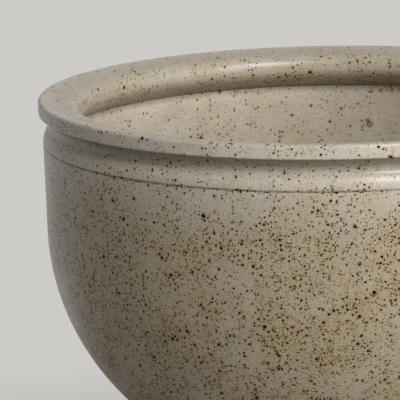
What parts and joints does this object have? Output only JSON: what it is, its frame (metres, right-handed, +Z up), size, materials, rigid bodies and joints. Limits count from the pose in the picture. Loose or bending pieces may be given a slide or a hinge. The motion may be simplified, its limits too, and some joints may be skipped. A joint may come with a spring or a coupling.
{
  "type": "jardiniere on stand",
  "caption": "Wide speckled stoneware jardiniere bowl with a rolled rim and a narrow foot, resting on a wooden stand with crossed rails and turned, tapered legs.",
  "frame": {"origin": "on the floor, under the middle of the stand and on the bowl's axis", "axes": "+Z up along the bowl's axis; +X and +Y along the stand's two rails; the picture looks from the -Y side"},
  "size_m": [0.43, 0.43, 0.478],
  "materials": {
    "speckled_glaze": "satin glaze over speckled stoneware",
    "walnut": "oiled",
    "maple": "oiled end grain",
    "brass": "slightly tarnished",
    "felt": "pressed felt",
    "nylon": "moulded"
  },
  "bodies": {
    "stand": {"rail_lower": "walnut", "rail_upper": "walnut", "leg_right": "walnut", "leg_back": "walnut", "leg_left": "walnut", "leg_front": "walnut", "peg_right_lower": "maple", "peg_right_upper": "maple", "peg_back_lower": "maple", "peg_back_upper": "maple", "peg_left_lower": "maple", "peg_left_upper": "maple", "peg_front_lower": "maple", "peg_front_upper": "maple", "centre_screw": "brass", "felt_pad_right": "felt", "felt_pad_back": "felt", "felt_pad_left": "felt", "felt_pad_front": "felt", "floor_glide_right": "nylon", "floor_glide_back": "nylon", "floor_glide_left": "nylon", "floor_glide_front": "nylon"},
    "bowl": {"bowl": "speckled_glaze"}
  },
  "joints": [
    {"name": "bowl_lift", "type": "slide", "parent": "stand", "child": "bowl", "axis": [0, 0, 1], "range_m": [0, 0.1]}
  ]
}
